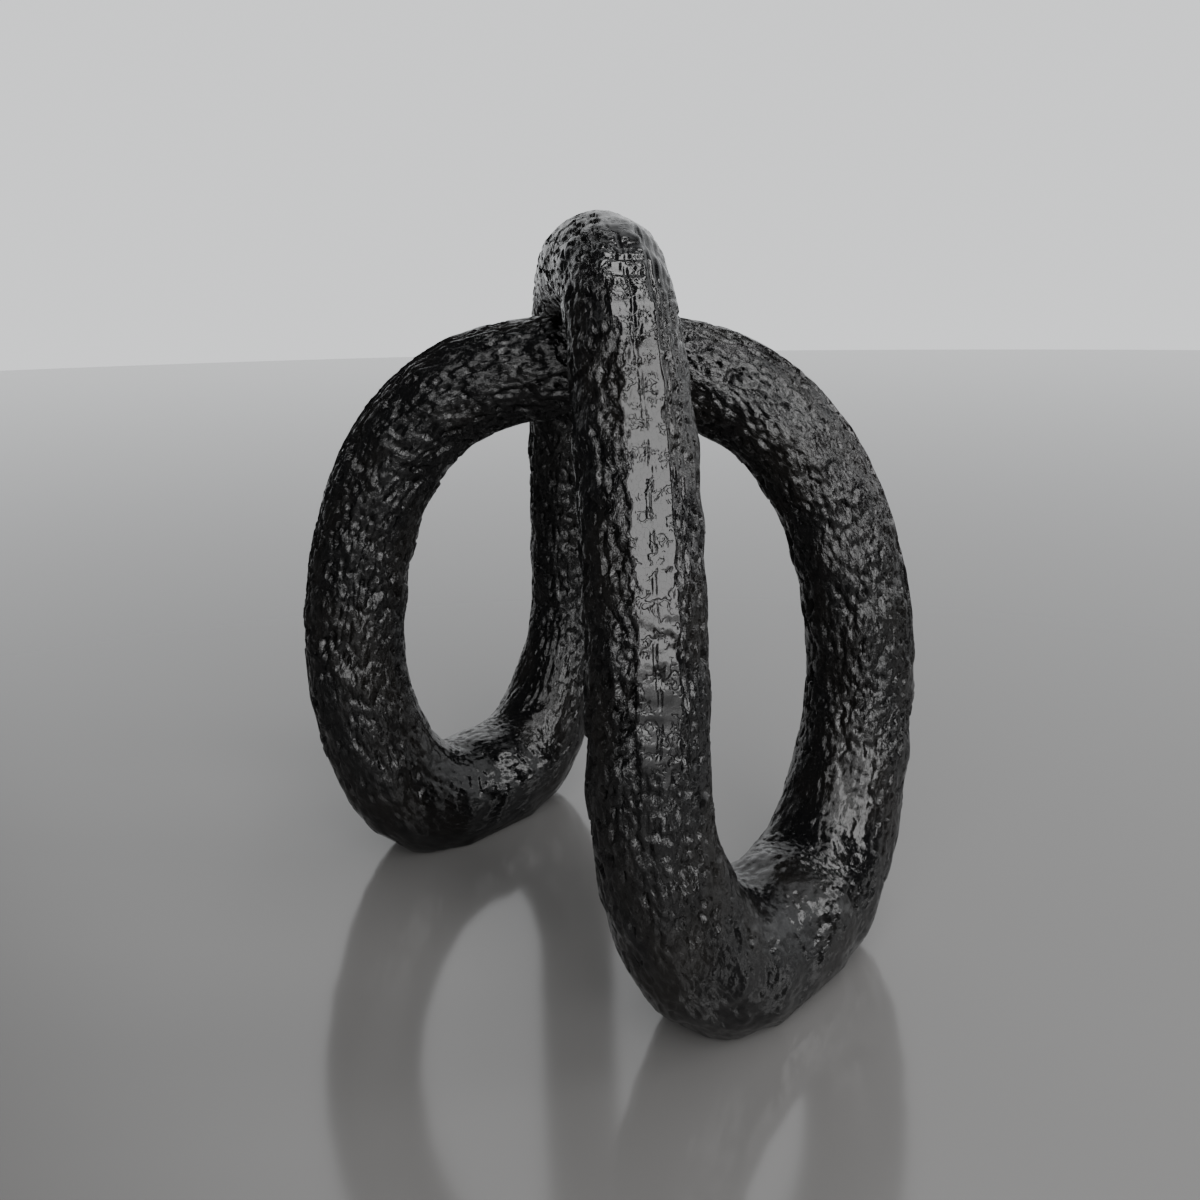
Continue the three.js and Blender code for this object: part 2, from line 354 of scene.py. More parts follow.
relief = {
    "Bar Sides": ("Int", bar["sides"]),
    "Lump Height": ("Float", 0.9 * mm),
    "Wide Lump Spacing": ("Float", 33 * mm),
    "Close Lump Spacing": ("Float", 21 * mm),
    "Close Lump Share": ("Float", 0.4),
    "Band Shoulder": ("Float", 0.8 * mm),
    "Band Cut": ("Float", 0.35 * mm),
    "Band Width": ("Float", 15 * mm),
    "Band Backing": ("Float", 2.2 * mm),
    "Band Fade": ("Float", 26 * mm),
    "Crown Clearance": ("Float", 28 * mm),
    "Joint Height": ("Float", jointHeight),
    "Warp Size": ("Float", 6 * mm),
    "Grain Size": ("Float", 3.5 * mm),
    "Grain Stretch": ("Float", 1.7),
    "Grain Step": ("Float", 1.1 * mm),
    "Grain Tilt": ("Float", 1.0),
    "Grain Sink": ("Float", 0.45 * mm),
    "Grain Top": ("Float", -0.25 * mm),
    "Rubble Gain": ("Float", 2.0),
    "Crumb Size": ("Float", 1.9 * mm),
    "Crumb Height": ("Float", 1.6 * mm),
    "Ridge Spacing": ("Float", 2.6 * mm),
    "Ridge Stretch": ("Float", 0.18),
    "Ridge Height": ("Float", 1.8 * mm),
    "Calm Width": ("Float", 17 * mm),
    "Calm Height": ("Float", 100 * mm),
    "Scrape Spacing": ("Float", 11 * mm),
    "Scrape Levels": ("Float", 7.0),
    "Scrape Step": ("Float", 0.22 * mm),
    "Fold Spacing": ("Float", 4 * mm),
    "Fold Height": ("Float", 0.35 * mm),
    "Crease Spacing": ("Float", 6 * mm),
    "Crease Depth": ("Float", 0.4 * mm),
    "Pit Size": ("Float", 2.4 * mm),
    "Pit Depth": ("Float", 0.7 * mm),
    "Groove Place": ("Float", 8.5 * mm),
    "Groove Width": ("Float", 1.1 * mm),
    "Groove Depth": ("Float", 0.9 * mm),
    "Seed": ("Float", 3.0),
}
routeInputs = {
    "Across": "Vector",
    "Turn": "Float",
    "Crown Rise": "Float",
    "Loop Start": "Float",
    "Loop Length": "Float",
}

# Where the skin changes. Across the bar a zone is measured from the band's middle, positive towards
# its calm side. Away from the axis is the level distance from the crossing. Four numbers say where a
# zone starts, is full, fades and ends, and a share is what is left of the grains there.
zones = {
    "calmSide": (2 * mm, 7 * mm),
    "calmFade": 0.7,
    "calmShare": 0.75,
    "innerFacing": (-0.2, -0.8),
    "innerTop": 70 * mm,
    "innerShare": 0.55,
    "soleShare": 0.2,
    "rubble": (-19 * mm, -14 * mm, -8 * mm, -5 * mm),
    "cap": (-7 * mm, -2 * mm, 16 * mm, 22 * mm),
    "capHeight": (tallCrown - 14 * mm, tallCrown - 6 * mm),
    "capShare": 0.25,
    "crownHeight": (tallCrown - 30 * mm, tallCrown - 5 * mm),
    "crownShare": 0.85,
    "bandTopFromAxis": (50 * mm, 66 * mm),
    "creasesFromAxis": (62 * mm, 69 * mm),
    "nearCrown": (90 * mm, 80 * mm),
}
grooveLines = ((1.0, 1.0), (1.35, 0.9), (1.8, 0.8), (-0.05, 0.6))  # shares of groove place and width

# The marks' own patterns. Reach is how far a pattern strays, a blend rounds off where two skins
# meet, and limits are the two values between which a mark grows from nothing to full.
marks = {
    "warpReach": (3.5 * mm,) * 3,
    "grainBlend": 0.4 * mm,
    "raggedSize": 7 * mm,
    "raggedReach": 12 * mm,
    "frayedSize": 4.5 * mm,
    "frayedReach": 10 * mm,
    "frayedLimits": (1 * mm, -1 * mm),
    "bow": 14.0,
    "scrapeSpread": 0.25,
    "stepLimits": (0.25, 0.65),
    "swaySize": 14 * mm,
    "swayReach": 2.0,
    "creaseLimits": (0.22, 0.0),
    "planeFade": 0.5 * mm,
    "leastFacing": 0.2,
    "bandLimits": (-0.25 * mm, 0.25 * mm),
    "bandBlend": 0.3 * mm,
    "clusterSize": 9 * mm,
    "clusterLimits": (0.45, 0.62),
    "pitLimits": (0.57, 0.66),
    "pitDistortion": 0.8,
    "pitLossAbove": -0.6,
    "wanderSize": 22 * mm,
    "wanderReach": 5 * mm,
    "brokenSize": 9 * mm,
    "brokenLimits": (0.42, 0.52),
}


def sweptBar(tree, given):
    upright = addNode(tree, "GeometryNodeSetCurveNormal", {"Curve": given["Route"]}, mode="FREE")
    feed(tree, upright.inputs["Normal"], given["Across"])
    kept = addNode(tree, "GeometryNodeCaptureAttribute", {"Geometry": upright.outputs[0]})
    for kind, name, source in (
        ("VECTOR", "centre", addNode(tree, "GeometryNodeInputPosition").outputs[0]),
        ("VECTOR", "heading", addNode(tree, "GeometryNodeInputTangent").outputs[0]),
        ("FLOAT", "run", addNode(tree, "GeometryNodeSplineParameter").outputs["Length"]),
        ("FLOAT", "share", addNode(tree, "GeometryNodeSplineParameter").outputs["Factor"]),
    ):
        kept.capture_items.new(kind, name)
        feed(tree, kept.inputs[name], source)
    circle = {"Resolution": given["Bar Sides"], "Radius": 1.0}
    section = addNode(tree, "GeometryNodeCurvePrimitiveCircle", circle)
    spin = vectorOf(tree, Z=calc(tree, "MULTIPLY", given["Turn"], -1.0))
    section = addNode(tree, "GeometryNodeTransform", {"Geometry": section.outputs[0], "Rotation": spin})
    swept = addNode(tree, "GeometryNodeCurveToMesh", {
        "Curve": kept.outputs["Geometry"],
        "Profile Curve": section.outputs[0],
        "Scale": addNode(tree, "GeometryNodeInputRadius").outputs[0],
        "Fill Caps": True,
    })
    return swept.outputs[0], kept.outputs


# Where a point lies on the closed bar: outward and across in its section, and along the loop. Ring
# is the skin's own place: the closed bar laid out as a ring, so that its pattern has no seam.
def placeOnBar(tree, given, kept):
    position = addNode(tree, "GeometryNodeInputPosition").outputs[0]
    spoke = vectorCalc(tree, "SUBTRACT", position, kept["centre"])
    spokeLength = vectorCalc(tree, "LENGTH", spoke)
    outwardAxis = vectorCalc(tree, "CROSS_PRODUCT", kept["heading"], given["Across"])
    flat = vectorCalc(tree, "DOT_PRODUCT", spoke, given["Across"])
    raised = vectorCalc(tree, "DOT_PRODUCT", spoke, outwardAxis)
    cosine, sine = calc(tree, "COSINE", given["Turn"]), calc(tree, "SINE", given["Turn"])
    across = calc(tree, "SUBTRACT", product(tree, flat, cosine), product(tree, raised, sine))
    outward = calc(tree, "ADD", product(tree, flat, sine), product(tree, raised, cosine))
    run = calc(tree, "ADD", given["Loop Start"], kept["run"])

    ringAngle = calc(tree, "DIVIDE", calc(tree, "MULTIPLY", run, 2 * math.pi), given["Loop Length"])
    girth = calc(tree, "MULTIPLY", given["Grain Stretch"], 2 * math.pi)
    ringRadius = calc(tree, "ADD", calc(tree, "DIVIDE", given["Loop Length"], girth), outward)
    ring = vectorOf(
        tree,
        X=product(tree, ringRadius, calc(tree, "COSINE", ringAngle)),
        Y=product(tree, ringRadius, calc(tree, "SINE", ringAngle)),
        Z=across,
    )

    centreAxes = axesOf(tree, kept["centre"])
    level = vectorOf(tree, X=centreAxes["X"], Y=centreAxes["Y"])
    fromAxis = vectorCalc(tree, "LENGTH", level)
    bandStart, clearance = given["Joint Height"], given["Crown Clearance"]
    bandFull, crownFull = (calc(tree, "ADD", start, given["Band Fade"]) for start in (bandStart, clearance))
    climbed = ease(tree, centreAxes["Z"], bandStart, bandFull)
    crownShare = calc(tree, "SINE", calc(tree, "MULTIPLY", kept["share"], math.pi))
    crownShare = calc(tree, "POWER", crownShare, bar["crownSwell"])
    return SimpleNamespace(
        position=position,
        spoke=spoke,
        spokeLength=spokeLength,
        fromBand=product(tree, calc(tree, "ARCTAN2", across, outward), spokeLength),
        run=run,
        ring=ring,
        height=axesOf(tree, position)["Z"],
        facing=calc(tree, "DIVIDE", raised, spokeLength),
        fromAxis=fromAxis,
        nearCrown=ease(tree, fromAxis, *zones["nearCrown"]),
        climbed=climbed,
        bandAlong=product(tree, climbed, ease(tree, fromAxis, clearance, crownFull)),
        crownRise=product(tree, crownShare, given["Crown Rise"]),
        seed=given["Seed"],
    )


def skinNoise(tree, at, size, shift, detail, distortion=0.0, place=None):
    place = at.ring if place is None else place
    scale, seed = calc(tree, "DIVIDE", 1.0, size), calc(tree, "ADD", at.seed, shift)
    return noiseAt(tree, place, scale, seed, detail, distortion=distortion)


def stray(tree, at, size, reach, shift, detail, place=None):
    noise = skinNoise(tree, at, size, shift, detail, place=place)
    return calc(tree, "MULTIPLY", calc(tree, "SUBTRACT", noise, 0.5), reach)


# Lumps by the same rule as in the castings: sines that repeat after half a turn about the upright
def lumpWave(tree, position, spacing):
    turns = scaled(tree, position, calc(tree, "DIVIDE", 2 * math.pi, spacing))
    axes = axesOf(tree, turns)
    sines = [calc(tree, "SINE", axis) for axis in axes]
    cosines = [calc(tree, "COSINE", axis) for axis in axes]
    wave = calc(tree, "MULTIPLY", sines[0], sines[1])
    wave = calc(tree, "MULTIPLY_ADD", cosines[0], sines[2], wave)
    wave = calc(tree, "MULTIPLY_ADD", cosines[1], cosines[2], wave)
    highest = 1.5
    return calc(tree, "DIVIDE", wave, highest)


def lumpsOn(tree, given, at):
    closeShare = given["Close Lump Share"]
    closeWave = lumpWave(tree, at.position, given["Close Lump Spacing"])
    closeLumps = calc(tree, "MULTIPLY", closeWave, closeShare)
    wideWave = lumpWave(tree, at.position, given["Wide Lump Spacing"])
    lumps = calc(tree, "MULTIPLY_ADD", wideWave, calc(tree, "SUBTRACT", closeShare, 1.0), closeLumps)
    return calc(tree, "MULTIPLY", lumps, given["Lump Height"])


# How much of the grains is left at a place, and how far it belongs to the calm side of the band
def grainShareOn(tree, given, at):
    ragged = stray(tree, at, marks["raggedSize"], marks["raggedReach"], shift=1.0, detail=2.0)
    besideBand = calc(tree, "ADD", at.fromBand, ragged)
    calmFade = calc(tree, "MULTIPLY", given["Calm Width"], zones["calmFade"])
    calmSide = product(
        tree,
        ease(tree, besideBand, given["Calm Width"], calmFade),
        ease(tree, besideBand, *zones["calmSide"]),
        at.bandAlong,
    )
    inner = ease(tree, at.facing, *zones["innerFacing"])
    inner = product(tree, inner, ease(tree, at.height, given["Joint Height"], zones["innerTop"]))
    rubble = product(tree, between(tree, besideBand, zones["rubble"]), at.bandAlong)
    cap = between(tree, besideBand, zones["cap"])
    cap = product(tree, cap, ease(tree, at.height, *zones["capHeight"]))
    share = product(
        tree,
        blendOf(tree, calmSide, 1.0, zones["calmShare"]),
        blendOf(tree, inner, 1.0, zones["innerShare"]),
        ease(tree, at.height, 0.0, given["Calm Height"], zones["soleShare"], 1.0),
        blendOf(tree, rubble, 1.0, given["Rubble Gain"]),
        blendOf(tree, cap, 1.0, zones["capShare"]),
        ease(tree, at.height, *zones["crownHeight"], 1.0, zones["crownShare"]),
    )
    return share, calmSide


# Grains: cells of a warped pattern, each at its own height and tilt, with crumbs over them, and
# lengthwise ridges on the calm side of the band
def grainsOn(tree, given, at, grainShare, calmSide):
    warp = addNode(tree, "ShaderNodeTexNoise", {"Vector": at.ring, "W": at.seed}, noise_dimensions="4D")
    feed(tree, warp.inputs["Scale"], calc(tree, "DIVIDE", 1.0, given["Warp Size"]))
    shift = vectorCalc(tree, "SUBTRACT", warp.outputs["Color"], (0.5, 0.5, 0.5))
    shifted = vectorCalc(tree, "MULTIPLY_ADD", shift, marks["warpReach"], at.ring)
    cells = addNode(tree, "ShaderNodeTexVoronoi", {"Vector": shifted})
    feed(tree, cells.inputs["Scale"], calc(tree, "DIVIDE", 1.0, given["Grain Size"]))
    fromCell = vectorCalc(tree, "SUBTRACT", shifted, cells.outputs["Position"])
    lean = vectorCalc(tree, "SUBTRACT", cells.outputs["Color"], (0.5, 0.5, 0.5))
    tilt = product(tree, vectorCalc(tree, "DOT_PRODUCT", fromCell, lean), given["Grain Tilt"])
    cellLevel = calc(tree, "SUBTRACT", axesOf(tree, cells.outputs["Color"])[0], 0.5)
    grains = calc(tree, "MULTIPLY_ADD", cellLevel, given["Grain Step"], tilt)
    crumbs = calc(tree, "SUBTRACT", skinNoise(tree, at, given["Crumb Size"], shift=2.0, detail=2.0), 0.5)
    grains = calc(tree, "MULTIPLY_ADD", crumbs, given["Crumb Height"], grains)
    ridgePlace = vectorOf(tree, X=product(tree, at.run, given["Ridge Stretch"]), Y=at.fromBand)
    size, height = given["Ridge Spacing"], given["Ridge Height"]
    ridges = stray(tree, at, size, height, shift=12.0, detail=1.0, place=ridgePlace)
    grains = calc(tree, "MULTIPLY_ADD", grains, grainShare, product(tree, ridges, calmSide))
    grains = calc(tree, "SUBTRACT", grains, given["Grain Sink"])
    return calc(tree, "SMOOTH_MIN", grains, given["Grain Top"], marks["grainBlend"])


# Fill that lifts the skin to the band's plane inside the band's frayed border
def backingOn(tree, given, at, bandTop):
    frayed = stray(tree, at, marks["frayedSize"], marks["frayedReach"], shift=11.0, detail=2.0)
    halfWidth = calc(tree, "MULTIPLY", given["Band Width"], 0.5)
    outside = calc(tree, "SUBTRACT", calc(tree, "ABSOLUTE", at.fromBand), halfWidth)
    inBand = ease(tree, calc(tree, "ADD", outside, frayed), *marks["frayedLimits"])
    return product(tree, inBand, bandTop, given["Band Backing"])


# The band's plane, with the steps, folds and creases that the scraper left across it
def bandPlaneOn(tree, given, at, bandTop):
    bow = product(tree, at.fromBand, at.fromBand, marks["bow"])
    bowed = calc(tree, "ADD", at.run, bow)
    scrapePlace = vectorOf(tree, X=bowed, Y=product(tree, at.fromBand, marks["scrapeSpread"]))
    steps = skinNoise(tree, at, given["Scrape Spacing"], shift=5.0, detail=1.0, place=scrapePlace)
    steps = product(tree, steps, given["Scrape Levels"])
    stepRise = ease(tree, calc(tree, "FRACT", steps), *marks["stepLimits"])
    scrapes = calc(tree, "ADD", calc(tree, "FLOOR", steps), stepRise)
    middleLevel = calc(tree, "MULTIPLY", given["Scrape Levels"], 0.5)
    scrapes = product(tree, calc(tree, "SUBTRACT", scrapes, middleLevel), given["Scrape Step"])
    folds = skinNoise(tree, at, given["Fold Spacing"], shift=9.0, detail=1.0, place=scrapePlace)
    folds = calc(tree, "SUBTRACT", folds, 0.5)
    scrapes = calc(tree, "MULTIPLY_ADD", folds, given["Fold Height"], scrapes)
    sway = skinNoise(tree, at, marks["swaySize"], shift=13.0, detail=1.0, place=scrapePlace)
    sway = product(tree, sway, marks["swayReach"])
    creases = calc(tree, "ADD", calc(tree, "DIVIDE", bowed, given["Crease Spacing"]), sway)
    creases = calc(tree, "ABSOLUTE", calc(tree, "SUBTRACT", calc(tree, "FRACT", creases), 0.5))
    creases = product(
        tree,
        ease(tree, creases, *marks["creaseLimits"]),
        at.nearCrown,
        ease(tree, at.fromAxis, *zones["creasesFromAxis"]),
        given["Crease Depth"],
    )
    scrapes = calc(tree, "SUBTRACT", scrapes, creases)
    planeHeight = calc(tree, "SUBTRACT", calc(tree, "ADD", at.spokeLength, at.crownRise), given["Band Cut"])
    planeHeight = calc(tree, "ADD", planeHeight, scrapes)
    fade = calc(tree, "MULTIPLY", calc(tree, "SUBTRACT", 1.0, bandTop), marks["planeFade"])
    planeHeight = calc(tree, "ADD", planeHeight, fade)
    return calc(tree, "DIVIDE", planeHeight, calc(tree, "MAXIMUM", at.facing, marks["leastFacing"]))


# Pits in the band, and grooves along its middle and its border. The middle one is broken.
def carvingsOn(tree, given, at, band):
    clusters = skinNoise(tree, at, marks["clusterSize"], shift=8.0, detail=1.0)
    clusters = ease(tree, clusters, *marks["clusterLimits"])
    bends = {"distortion": marks["pitDistortion"], "place": at.position}
    pits = skinNoise(tree, at, given["Pit Size"], shift=10.0, detail=1.0, **bends)
    pits = ease(tree, pits, *marks["pitLimits"])
    fewerAbove = calc(tree, "MULTIPLY_ADD", at.nearCrown, marks["pitLossAbove"], 1.0)
    pits = product(tree, pits, clusters, band, fewerAbove)
    groovePlace = vectorOf(tree, X=at.run)
    size, reach = marks["wanderSize"], marks["wanderReach"]
    wander = stray(tree, at, size, reach, shift=6.0, detail=1.0, place=groovePlace)
    broken = skinNoise(tree, at, marks["brokenSize"], shift=7.0, detail=1.0, place=groovePlace)
    broken = ease(tree, broken, *marks["brokenLimits"])
    grooves = 0.0
    for place, share in grooveLines:
        line = calc(tree, "MULTIPLY", given["Groove Place"], place)
        away = calc(tree, "SUBTRACT", calc(tree, "ADD", at.fromBand, wander), line)
        width = calc(tree, "MULTIPLY", given["Groove Width"], share)
        groove = ease(tree, calc(tree, "ABSOLUTE", away), width, 0.0, 0.0, share)
        if place < 1:
            groove = calc(tree, "MULTIPLY", groove, broken)
        grooves = calc(tree, "ADD", grooves, groove)
    grooves = product(tree, grooves, at.bandAlong, given["Groove Depth"])
    return calc(tree, "MULTIPLY_ADD", pits, given["Pit Depth"], grooves)


# The swept bar with its skin moved out or in, shaded smooth all over but on its flat end caps
def pressedBar(tree, given, swept, at, lift, stored):
    marked = swept
    for name, (kind, value) in stored.items():
        sockets = {"Geometry": marked, "Name": name}
        store = addNode(tree, "GeometryNodeStoreNamedAttribute", sockets, data_type=kind)
        feed(tree, store.inputs["Value"], value)
        marked = store.outputs[0]
    push = scaled(tree, vectorCalc(tree, "NORMALIZE", at.spoke), lift)
    pressed = addNode(tree, "GeometryNodeSetPosition", {"Geometry": marked, "Offset": push})
    corners = addNode(tree, "GeometryNodeInputMeshFaceNeighbors").outputs["Vertex Count"]
    wall = addNode(tree, "FunctionNodeCompare", data_type="INT", operation="LESS_EQUAL")
    wallCorners = 4
    feed(tree, wall.inputs[2], corners)
    feed(tree, wall.inputs[3], wallCorners)
    smooth = addNode(tree, "GeometryNodeSetShadeSmooth", {"Geometry": pressed.outputs[0]}, domain="FACE")
    feed(tree, smooth.inputs["Shade Smooth"], wall.outputs[0])
    real = addNode(tree, "GeometryNodeRealizeInstances", {"Geometry": smooth.outputs[0]})
    dressing = {"Geometry": real.outputs[0], "Material": given["Finish"]}
    return addNode(tree, "GeometryNodeSetMaterial", dressing).outputs[0]


def lacqueredBarTree():
    tree = bpy.data.node_groups.new("lacqueredBar", "GeometryNodeTree")
    tree.interface.new_socket("Route", in_out="INPUT", socket_type="NodeSocketGeometry")
    for name, kind in routeInputs.items():
        tree.interface.new_socket(name, in_out="INPUT", socket_type="NodeSocket" + kind)
    for name, (kind, value) in relief.items():
        socket = tree.interface.new_socket(name, in_out="INPUT", socket_type="NodeSocket" + kind)
        socket.default_value = value
    tree.interface.new_socket("Finish", in_out="INPUT", socket_type="NodeSocketMaterial")
    tree.interface.new_socket("Bar", in_out="OUTPUT", socket_type="NodeSocketGeometry")
    given = addNode(tree, "NodeGroupInput").outputs

    swept, kept = sweptBar(tree, given)
    at = placeOnBar(tree, given, kept)
    standing = calc(tree, "MULTIPLY_ADD", given["Band Shoulder"], at.bandAlong, at.crownRise)
    facing = calc(tree, "MAXIMUM", at.facing, 0.0)
    standing = calc(tree, "MULTIPLY", standing, calc(tree, "MULTIPLY", facing, facing))
    skin = calc(tree, "ADD", calc(tree, "ADD", at.spokeLength, lumpsOn(tree, given, at)), standing)
    grainShare, calmSide = grainShareOn(tree, given, at)
    grains = grainsOn(tree, given, at, grainShare, calmSide)
    bandTop = product(tree, at.climbed, ease(tree, at.fromAxis, *zones["bandTopFromAxis"]))
    backing = backingOn(tree, given, at, bandTop)
    skin = calc(tree, "ADD", calc(tree, "ADD", skin, grains), backing)
    plane = bandPlaneOn(tree, given, at, bandTop)
    band = ease(tree, calc(tree, "SUBTRACT", skin, plane), *marks["bandLimits"])
    skin = calc(tree, "SMOOTH_MIN", skin, plane, marks["bandBlend"])
    carved = calc(tree, "SUBTRACT", skin, carvingsOn(tree, given, at, band))
    lift = calc(tree, "SUBTRACT", carved, at.spokeLength)
    stored = {
        "ringPlace": ("FLOAT_VECTOR", at.ring),
        "bandShare": ("FLOAT", band),
        "grainShare": ("FLOAT", grainShare),
    }
    addNode(tree, "NodeGroupOutput", {"Bar": pressedBar(tree, given, swept, at, lift, stored)})
    return tree


def meshFrom(source):
    graph = bpy.context.evaluated_depsgraph_get()
    evaluated = source.evaluated_get(graph)
    return bpy.data.meshes.new_from_object(evaluated, preserve_all_data_layers=True, depsgraph=graph)


def barFrom(casting, tree, finish):
    path = casting["path"]
    modifier = path.modifiers.new("bar", "NODES")
    modifier.node_group = tree
    values = {
        "Across": casting["across"],
        "Turn": casting["turn"],
        "Crown Rise": casting["crownRise"],
        "Loop Start": casting["loopStart"],
        "Loop Length": loopLength,
        "Finish": finish,
    }
    for item in tree.interface.items_tree:
        if item.in_out == "INPUT" and item.name in values:
            modifier[item.identifier] = values[item.name]
    piece = bpy.data.objects.new(casting["name"] + "_skin", meshFrom(path))
    bpy.context.scene.collection.objects.link(piece)
    bpy.data.objects.remove(path)
    return piece


# Cuts: the trimmed sole, the felt pads' pockets, the dowel holes and the saddle over the low arch

fits = {
    "bond": 0.3 * mm,
    "endRoom": 1.0 * mm,
    "holeSides": 32,
    "soleWidth": 43 * mm,
    "soleFlare": 0.75,
}


def linkedObject(name, mesh):
    data = bpy.data.meshes.new(name)
    mesh.to_mesh(data)
    mesh.free()
    made = bpy.data.objects.new(name, data)
    bpy.context.scene.collection.objects.link(made)
    return made


def holeCutter(holes):
    mesh = bmesh.new()
    for low, high, radius in holes:
        place = Matrix.Translation((low + high) / 2)
        bmesh.ops.create_cone(mesh, cap_ends=True, segments=fits["holeSides"], radius1=radius,
                              radius2=radius, depth=(high - low).length, matrix=place)
    return linkedObject("holes", mesh)


# Room that a trimmed foot may fill: above its sole, between planes that lean outwards
def soleRoom(casting):
    middle, top = casting["centre"].x, 2 * jointHeight
    soleHalf = fits["soleWidth"] / 2
    halves = {soleHeight: soleHalf, top: soleHalf + fits["soleFlare"] * (top - soleHeight)}
    mesh = bmesh.new()
    for z, half in halves.items():
        for x in (middle - half, middle + half):
            for y in (-2 * legReach, 2 * legReach):
                mesh.verts.new((x, y, z))
    bmesh.ops.convex_hull(mesh, input=mesh.verts)
    return linkedObject("soleRoom", mesh)


def holeFor(node, endRoom):
    low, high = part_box(node)
    middle = (low + high) / 2
    radius = (high.x - low.x) / 2 + fits["bond"]
    room = Vector((0, 0, endRoom))
    return Vector((middle.x, middle.y, low.z)) - room, Vector((middle.x, middle.y, high.z)) + room, radius


def cutWith(piece, cutter, operation="DIFFERENCE", keepCutter=False):
    modifier = piece.modifiers.new("cut", "BOOLEAN")
    modifier.operation = operation
    modifier.solver = "MANIFOLD"
    modifier.object = cutter
    mesh = meshFrom(piece)
    piece.modifiers.clear()
    piece.data = mesh
    if not keepCutter:
        bpy.data.objects.remove(cutter)


def pinsOf(name):
    if name.endswith("foot"):
        end = name.split("_")[0]
        return [f"{end}_{arch}_leg_{place}_pin" for arch in ("tall", "low") for place in ("inner", "outer")]
    arch = name.split("_")[0]
    legs = [f"{end}_{arch}_leg_{place}_pin" for end in ("front", "rear") for place in ("inner", "outer")]
    return legs + ["crossing_pin"]


finish = lacquerMaterial()
tree = lacqueredBarTree()
skins = {}
for casting in castings:
    name = casting["name"]
    skin = barFrom(casting, tree, finish)
    skins[name] = skin
    if name.endswith("foot"):
        cutWith(skin, soleRoom(casting), "INTERSECT")
    holes = [holeFor(pin, fits["endRoom"]) for pin in pinsOf(name)]
    if name.endswith("foot"):
        pads = [f"{name}_pad_{index}" for index in (1, 2)]
        holes += [holeFor(pad, fits["bond"]) for pad in pads]
    cutWith(skin, holeCutter(holes))
    print(name, "has", len(skin.data.polygons), "faces")
cutWith(skins["tall_arch"], skins["low_arch"], keepCutter=True)

for name, skin in skins.items():
    skin.data.name = skin.name
    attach(skin, "root")
    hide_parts(name)
print("castings ready")


# Steel and felt of the pieces that the frame keeps

steel = {
    "colours": ((0.55, 0.56, 0.58, 1), (0.68, 0.69, 0.70, 1)),
    "lineGrain": 1.6 * mm,
    "lineStretch": 14.0,
    "lineHeight": 0.02 * mm,
    "lineLimits": (0.2, 0.8),
    "gloss": (0.22, 0.38),
}
felt = {
    "colours": ((0.010, 0.010, 0.011, 1), (0.035, 0.034, 0.034, 1)),
    "fibreGrain": 0.5 * mm,
    "fibreHeight": 0.25 * mm,
    "roughness": 0.95,
    "sheen": 0.3,
}


def steelMaterial():
    material, tree = newMaterial("groundSteel")
    place = addNode(tree, "ShaderNodeTexCoord").outputs["Object"]
    stretch = (1.0, 1.0, steel["lineStretch"])
    place = addNode(tree, "ShaderNodeMapping", {"Vector": place, "Scale": stretch}).outputs[0]
    lines = noiseAt(tree, place, 1 / steel["lineGrain"], seed=21.0, detail=4.0, roughness=0.6)
    finishMaterial(tree, {
        "Base Color": colourBlend(tree, lines, *steel["colours"]),
        "Metallic": 1.0,
        "Roughness": ease(tree, lines, *steel["lineLimits"], *steel["gloss"]),
        "Normal": bumpOn(tree, lines, steel["lineHeight"]),
    })
    return material


def feltMaterial():
    material, tree = newMaterial("blackFelt")
    place = addNode(tree, "ShaderNodeTexCoord").outputs["Object"]
    scale = 1 / felt["fibreGrain"]
    fibres = noiseAt(tree, place, scale, seed=22.0, detail=5.0, roughness=0.7, distortion=1.2)
    finishMaterial(tree, {
        "Base Color": colourBlend(tree, fibres, *felt["colours"]),
        "Roughness": felt["roughness"],
        "Sheen Weight": felt["sheen"],
        "Sheen Roughness": 0.5,
        "Normal": bumpOn(tree, fibres, felt["fibreHeight"]),
    })
    return material


def dress(node, material):
    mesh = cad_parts[node].data
    mesh.materials.clear()
    mesh.materials.append(material)


pinFinish, padFinish = steelMaterial(), feltMaterial()
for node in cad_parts:
    if node.endswith("_pin"):
        dress(node, pinFinish)
    elif "_pad_" in node:
        dress(node, padFinish)
print("pins and pads ready")


# Camera, floor and light. Heading, tilt and roll are in degrees, sensor and lens in millimetres.

view = {
    "place": (321.3 * mm, -319.3 * mm, 272.6 * mm),
    "heading": 134.87,
    "tilt": 5.94,
    "roll": -0.99,
    "sensor": 36.0,
    "lens": 30.0,
    "shiftY": -0.1547,
    "clipStart": 10 * mm,
}


def addCamera():
    heading, tilt, roll = (math.radians(view[key]) for key in ("heading", "tilt", "roll"))
    level = Vector((math.sin(heading), -math.cos(heading), 0))
    flat = math.cos(tilt)
    ahead = Vector((math.cos(heading) * flat, math.sin(heading) * flat, -math.sin(tilt)))
    rise = level.cross(ahead)
    right = level * math.cos(roll) + rise * math.sin(roll)
    top = rise * math.cos(roll) - level * math.sin(roll)
    data = bpy.data.cameras.new("camera")
    data.sensor_width = view["sensor"]
    data.lens = view["lens"]
    data.shift_y = view["shiftY"]
    data.clip_start = view["clipStart"]
    camera = bpy.data.objects.new("camera", data)
    turned = Matrix((right, top, -ahead)).transposed().to_4x4()
    camera.matrix_world = Matrix.Translation(view["place"]) @ turned
    bpy.context.scene.collection.objects.link(camera)
    bpy.context.scene.camera = camera


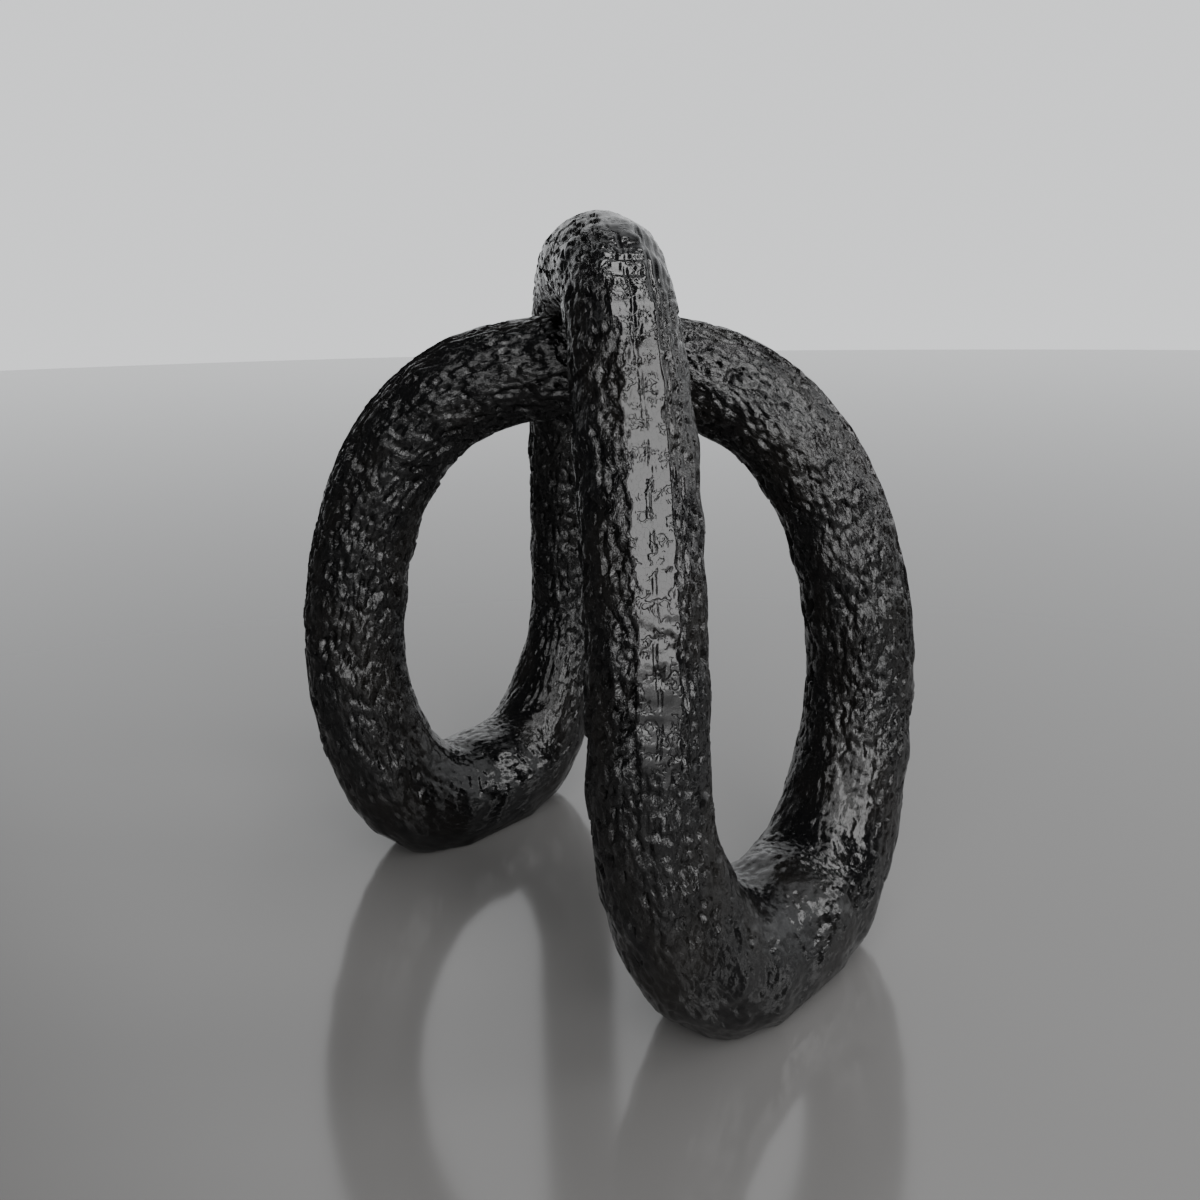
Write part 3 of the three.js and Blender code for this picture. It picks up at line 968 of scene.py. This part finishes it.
floorLook = {
    "radius": 6.0,
    "sides": 96,
    "colour": (0.125, 0.122, 0.12, 1),
    "roughness": 0.12,
    "refraction": 1.8,
}


def addFloor():
    mesh = bmesh.new()
    bmesh.ops.create_circle(mesh, cap_ends=True, segments=floorLook["sides"], radius=floorLook["radius"])
    floor = linkedObject("floor", mesh)
    material, tree = newMaterial("paleFloor")
    finishMaterial(tree, {
        "Base Color": floorLook["colour"],
        "Roughness": floorLook["roughness"],
        "IOR": floorLook["refraction"],
    })
    floor.data.materials.append(material)


lights = {
    "key": {"from": (0.97, -0.46, 0.8), "at": (0.05, -0.03, 0.6), "size": (0.65, 1.6), "power": 25},
    "rim": {"from": (0.45, -1.0, 0.75), "at": (0.05, -0.03, 0.5), "size": (0.5, 1.3), "power": 6.5},
    "side": {"from": (0.98, 0.72, 0.85), "at": (0.05, 0.03, 0.6), "size": (0.32, 1.1), "power": 7},
    "top": {"from": (0.362, 0.066, 1.5), "at": (0.122, 0.246, 0.25), "size": (0.25, 0.95), "power": 6.2},
}


def addLight(name, spec):
    data = bpy.data.lights.new(name, "AREA")
    data.shape = "RECTANGLE"
    data.size, data.size_y = spec["size"]
    data.energy = spec["power"]
    light = bpy.data.objects.new(name, data)
    place, target = Vector(spec["from"]), Vector(spec["at"])
    turned = (target - place).to_track_quat("-Z", "Y").to_matrix().to_4x4()
    light.matrix_world = Matrix.Translation(place) @ turned
    bpy.context.scene.collection.objects.link(light)


# A room that is bright behind the sculpture and dim on the camera's side
studio = {
    "colour": (0.97, 0.985, 1, 1),
    "brightTowards": (-0.34, 0.93, -0.12),
    "fade": (0.2, 0.5),
    "strength": (0.09, 1.1),
}


def addWorld():
    world = bpy.data.worlds.new("studio")
    world.use_nodes = True
    tree = world.node_tree
    tree.nodes.clear()
    direction = addNode(tree, "ShaderNodeTexCoord").outputs["Generated"]
    behind = vectorCalc(tree, "DOT_PRODUCT", direction, studio["brightTowards"])
    bright = ease(tree, behind, *studio["fade"], *studio["strength"])
    background = addNode(tree, "ShaderNodeBackground", {"Color": studio["colour"], "Strength": bright})
    addNode(tree, "ShaderNodeOutputWorld", {"Surface": background.outputs[0]})
    bpy.context.scene.world = world


addCamera()
addFloor()
addWorld()
for name, spec in lights.items():
    addLight(name, spec)
print("studio ready")
